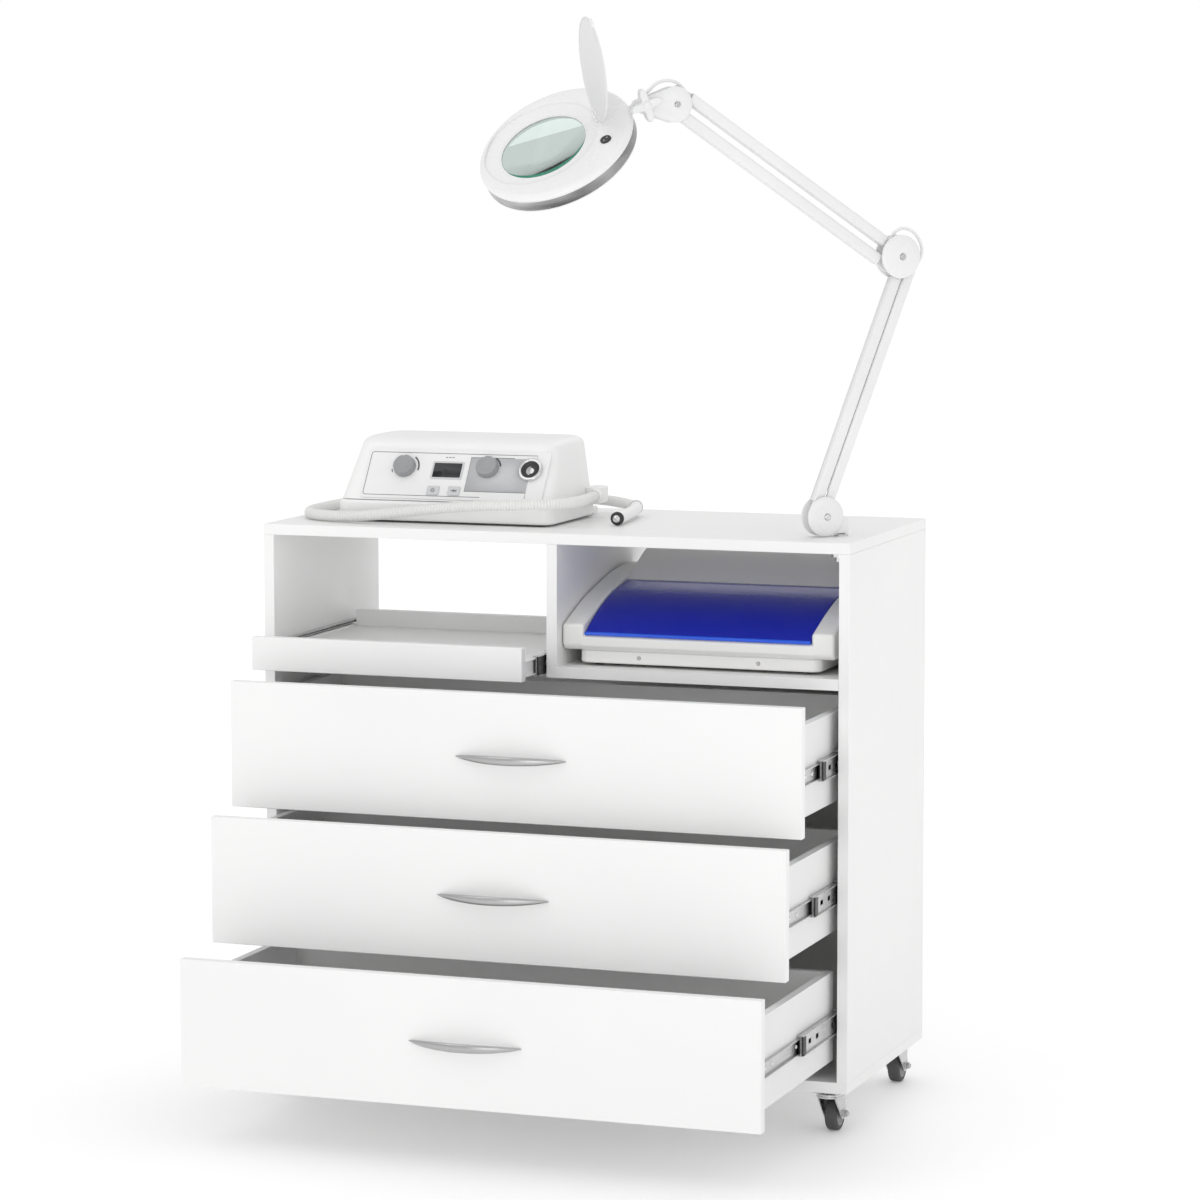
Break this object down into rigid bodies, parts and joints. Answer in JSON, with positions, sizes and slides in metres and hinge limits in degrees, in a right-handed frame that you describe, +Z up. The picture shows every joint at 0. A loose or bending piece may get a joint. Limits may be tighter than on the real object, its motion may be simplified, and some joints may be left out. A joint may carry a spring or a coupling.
{
  "type": "podiatry trolley workstation",
  "caption": "White salon cabinet on castors with drawers, a pull-out tray, a magnifier lamp on a two-part arm, a nail drill unit and an instrument steriliser.",
  "frame": {"origin": "on the floor, under the middle of the object's footprint with its drawers open as at rest", "axes": "+X to the cabinet's right, +Y to its back, +Z up"},
  "size_m": [0.9525, 0.776, 1.5851],
  "materials": {
    "white_board": "white melamine-faced board, fine satin",
    "back_board": "thin white hardboard",
    "slide_steel": "bright zinc-plated steel",
    "satin_handle": "satin nickel",
    "castor_chrome": "bright chrome plate",
    "castor_tyre": "dark grey rubber tread on a grey hub",
    "brake_pedal": "black moulded pedal",
    "bush_chrome": "chrome",
    "lamp_white": "glossy white moulding",
    "lamp_arm_paint": "white powder coat",
    "brushed_band": "brushed stainless band",
    "lens_glass": "clear optical glass",
    "black_switch": "black push button",
    "unit_white": "white moulded shell",
    "fascia_grey": "printed front film",
    "hose_white": "white corrugated hose",
    "handpiece_white": "white handpiece with a steel chuck",
    "knob_silver": "satin silver",
    "button_grey": "pale grey key",
    "steriliser_white": "white moulded case",
    "blue_lid": "transparent deep blue acrylic"
  },
  "bodies": {
    "cabinet": {"side_panels": "white_board", "top_panel": "white_board", "bottom_panel": "white_board", "niche_boards": "white_board", "back_panel": "back_board", "slide_outer_members": "slide_steel", "castor_plates": "castor_chrome", "lamp_bush": "bush_chrome", "drill_housing": "unit_white", "drill_fascia": "fascia_grey", "drill_hose": "hose_white", "handpiece": "handpiece_white", "steriliser_body": "steriliser_white"},
    "top_drawer": {"top_drawer_front": "white_board", "top_drawer_box": "white_board", "top_handle": "satin_handle", "top_slide_inner": "slide_steel"},
    "top_slide_middle": {"top_slide_middle": "slide_steel"},
    "middle_drawer": {"middle_drawer_front": "white_board", "middle_drawer_box": "white_board", "middle_handle": "satin_handle", "middle_slide_inner": "slide_steel"},
    "middle_slide_middle": {"middle_slide_middle": "slide_steel"},
    "bottom_drawer": {"bottom_drawer_front": "white_board", "bottom_drawer_box": "white_board", "bottom_handle": "satin_handle", "bottom_slide_inner": "slide_steel"},
    "bottom_slide_middle": {"bottom_slide_middle": "slide_steel"},
    "tray": {"tray_front": "white_board", "tray_board": "white_board"},
    "tray_slide_middle": {"tray_slide_middle": "slide_steel"},
    "front_left_castor": {"front_left_castor_fork": "castor_chrome"},
    "front_left_wheel": {"front_left_castor_wheel": "castor_tyre"},
    "front_left_brake": {"front_left_brake_pedal": "brake_pedal"},
    "front_right_castor": {"front_right_castor_fork": "castor_chrome"},
    "front_right_wheel": {"front_right_castor_wheel": "castor_tyre"},
    "front_right_brake": {"front_right_brake_pedal": "brake_pedal"},
    "rear_left_castor": {"rear_left_castor_fork": "castor_chrome"},
    "rear_left_wheel": {"rear_left_castor_wheel": "castor_tyre"},
    "rear_right_castor": {"rear_right_castor_fork": "castor_chrome"},
    "rear_right_wheel": {"rear_right_castor_wheel": "castor_tyre"},
    "lamp_base": {"lamp_base_knuckle": "lamp_white"},
    "lower_front_bar": {"lower_bar_front": "lamp_arm_paint"},
    "lower_rear_bar": {"lower_bar_rear": "lamp_arm_paint"},
    "elbow": {"elbow_knuckle": "lamp_white"},
    "upper_top_bar": {"upper_bar_top": "lamp_arm_paint"},
    "upper_bottom_bar": {"upper_bar_bottom": "lamp_arm_paint"},
    "head_knuckle": {"head_knuckle": "lamp_white"},
    "star_knob": {"star_knob": "lamp_white"},
    "head_link": {"head_link": "lamp_white"},
    "head": {"head_shell": "lamp_white", "head_ring": "brushed_band", "lens": "lens_glass"},
    "lens_cover": {"lens_cover": "lamp_white"},
    "head_switch": {"head_switch": "black_switch"},
    "speed_knob": {"knob_speed": "knob_silver"},
    "suction_knob": {"knob_suction": "knob_silver"},
    "power_button": {"button_power": "button_grey"},
    "mode_button": {"button_mode": "button_grey"},
    "steriliser_lid": {"steriliser_lid": "blue_lid"}
  },
  "joints": [
    {"name": "top_drawer_slide", "type": "slide", "parent": "cabinet", "child": "top_drawer", "axis": [0, -1, 0], "range_m": [-0.163, 0.187]},
    {"name": "top_middle_slide", "type": "slide", "parent": "cabinet", "child": "top_slide_middle", "axis": [0, -1, 0], "range_m": [-0.0815, 0.0935]},
    {"name": "middle_drawer_slide", "type": "slide", "parent": "cabinet", "child": "middle_drawer", "axis": [0, -1, 0], "range_m": [-0.234, 0.116]},
    {"name": "middle_middle_slide", "type": "slide", "parent": "cabinet", "child": "middle_slide_middle", "axis": [0, -1, 0], "range_m": [-0.117, 0.058]},
    {"name": "bottom_drawer_slide", "type": "slide", "parent": "cabinet", "child": "bottom_drawer", "axis": [0, -1, 0], "range_m": [-0.342, 0.008]},
    {"name": "bottom_middle_slide", "type": "slide", "parent": "cabinet", "child": "bottom_slide_middle", "axis": [0, -1, 0], "range_m": [-0.171, 0.004]},
    {"name": "tray_slide", "type": "slide", "parent": "cabinet", "child": "tray", "axis": [0, -1, 0], "range_m": [-0.09, 0.21]},
    {"name": "tray_middle_slide", "type": "slide", "parent": "cabinet", "child": "tray_slide_middle", "axis": [0, -1, 0], "range_m": [-0.045, 0.105]},
    {"name": "front_left_swivel", "type": "hinge", "parent": "cabinet", "child": "front_left_castor", "pos_m": [-0.44235, 0.013, 0.057], "axis": [0, 0, 1], "continuous": true},
    {"name": "front_left_wheel_spin", "type": "hinge", "parent": "front_left_castor", "child": "front_left_wheel", "pos_m": [-0.44235, 0.037, 0.025], "axis": [1, 0, 0], "continuous": true},
    {"name": "front_left_brake_press", "type": "hinge", "parent": "front_left_castor", "child": "front_left_brake", "pos_m": [-0.44235, 0.039, 0.0542], "axis": [-1, 0, 0], "range_deg": [0, 8]},
    {"name": "front_right_swivel", "type": "hinge", "parent": "cabinet", "child": "front_right_castor", "pos_m": [0.38765, 0.013, 0.057], "axis": [0, 0, 1], "continuous": true},
    {"name": "front_right_wheel_spin", "type": "hinge", "parent": "front_right_castor", "child": "front_right_wheel", "pos_m": [0.38765, 0.037, 0.025], "axis": [1, 0, 0], "continuous": true},
    {"name": "front_right_brake_press", "type": "hinge", "parent": "front_right_castor", "child": "front_right_brake", "pos_m": [0.38765, 0.039, 0.0542], "axis": [-1, 0, 0], "range_deg": [0, 8]},
    {"name": "rear_left_swivel", "type": "hinge", "parent": "cabinet", "child": "rear_left_castor", "pos_m": [-0.44235, 0.339, 0.057], "axis": [0, 0, 1], "continuous": true},
    {"name": "rear_left_wheel_spin", "type": "hinge", "parent": "rear_left_castor", "child": "rear_left_wheel", "pos_m": [-0.44235, 0.363, 0.025], "axis": [1, 0, 0], "continuous": true},
    {"name": "rear_right_swivel", "type": "hinge", "parent": "cabinet", "child": "rear_right_castor", "pos_m": [0.38765, 0.339, 0.057], "axis": [0, 0, 1], "continuous": true},
    {"name": "rear_right_wheel_spin", "type": "hinge", "parent": "rear_right_castor", "child": "rear_right_wheel", "pos_m": [0.38765, 0.363, 0.025], "axis": [1, 0, 0], "continuous": true},
    {"name": "lamp_turn", "type": "hinge", "parent": "cabinet", "child": "lamp_base", "pos_m": [0.3781, 0.08475, 0.854], "axis": [0, 0, 1], "range_deg": [-170, 170]},
    {"name": "lower_arm_pitch", "type": "hinge", "parent": "lamp_base", "child": "lower_front_bar", "pos_m": [0.36131, 0.06796, 0.8984], "axis": [0.7071, -0.7071, 0], "range_deg": [-1, 70]},
    {"name": "lower_rear_bar_pitch", "type": "hinge", "parent": "lamp_base", "child": "lower_rear_bar", "pos_m": [0.34455, 0.0512, 0.8854], "axis": [0.7071, -0.7071, 0], "range_deg": [-1, 70]},
    {"name": "elbow_level", "type": "hinge", "parent": "lower_front_bar", "child": "elbow", "pos_m": [0.46044, 0.16709, 1.2505], "axis": [0.7071, -0.7071, 0], "range_deg": [-70, 1]},
    {"name": "upper_arm_pitch", "type": "hinge", "parent": "elbow", "child": "upper_top_bar", "pos_m": [0.43679, 0.14344, 1.2615], "axis": [0.7071, -0.7071, 0], "range_deg": [-30, 45]},
    {"name": "upper_bottom_bar_pitch", "type": "hinge", "parent": "elbow", "child": "upper_bottom_bar", "pos_m": [0.43043, 0.13708, 1.2355], "axis": [0.7071, -0.7071, 0], "range_deg": [-30, 45]},
    {"name": "head_knuckle_level", "type": "hinge", "parent": "upper_top_bar", "child": "head_knuckle", "pos_m": [0.19574, -0.09761, 1.4853], "axis": [0.7071, -0.7071, 0], "range_deg": [-45, 30]},
    {"name": "star_knob_turn", "type": "hinge", "parent": "head_knuckle", "child": "star_knob", "pos_m": [0.15282, -0.14053, 1.464], "axis": [0.7071, -0.7071, 0], "continuous": true},
    {"name": "head_tilt", "type": "hinge", "parent": "head_knuckle", "child": "head_link", "pos_m": [0.15282, -0.14053, 1.464], "axis": [0.7071, -0.7071, 0], "range_deg": [-30, 40]},
    {"name": "head_roll", "type": "hinge", "parent": "head_link", "child": "head", "pos_m": [0.14314, -0.14433, 1.45876], "axis": [0.8391, 0.3174, 0.4419], "range_deg": [-15, 15]},
    {"name": "lens_cover_hinge", "type": "hinge", "parent": "head", "child": "lens_cover", "pos_m": [0.09882, -0.17149, 1.44929], "axis": [-0.526, 0.6808, 0.5098], "range_deg": [-110, 10]},
    {"name": "head_switch_press", "type": "slide", "parent": "head", "child": "head_switch", "axis": [0.139, 0.6601, -0.7382], "range_m": [0, 0.0012], "stiffness_N_per_m": 600},
    {"name": "speed_knob_turn", "type": "hinge", "parent": "cabinet", "child": "speed_knob", "pos_m": [-0.29535, 0.08976, 0.9326], "axis": [0, -0.829, 0.5592], "range_deg": [-140, 140]},
    {"name": "suction_knob_turn", "type": "hinge", "parent": "cabinet", "child": "suction_knob", "pos_m": [-0.16435, 0.09087, 0.93425], "axis": [0, -0.829, 0.5592], "range_deg": [-140, 140]},
    {"name": "power_button_press", "type": "slide", "parent": "cabinet", "child": "power_button", "axis": [0, 0.829, -0.5592], "range_m": [0, 0.0015], "stiffness_N_per_m": 500},
    {"name": "mode_button_press", "type": "slide", "parent": "cabinet", "child": "mode_button", "axis": [0, 0.829, -0.5592], "range_m": [0, 0.0015], "stiffness_N_per_m": 500},
    {"name": "steriliser_lid_hinge", "type": "hinge", "parent": "cabinet", "child": "steriliser_lid", "pos_m": [0.18965, 0.187, 0.764], "axis": [-1, 0, 0], "range_deg": [0, 33]}
  ],
  "couplings": [
    {"joint": "top_middle_slide", "follows": "top_drawer_slide", "ratio": 0.5},
    {"joint": "middle_middle_slide", "follows": "middle_drawer_slide", "ratio": 0.5},
    {"joint": "bottom_middle_slide", "follows": "bottom_drawer_slide", "ratio": 0.5},
    {"joint": "tray_middle_slide", "follows": "tray_slide", "ratio": 0.5},
    {"joint": "lower_rear_bar_pitch", "follows": "lower_arm_pitch", "ratio": 1},
    {"joint": "elbow_level", "follows": "lower_arm_pitch", "ratio": -1},
    {"joint": "upper_bottom_bar_pitch", "follows": "upper_arm_pitch", "ratio": 1},
    {"joint": "head_knuckle_level", "follows": "upper_arm_pitch", "ratio": -1}
  ]
}
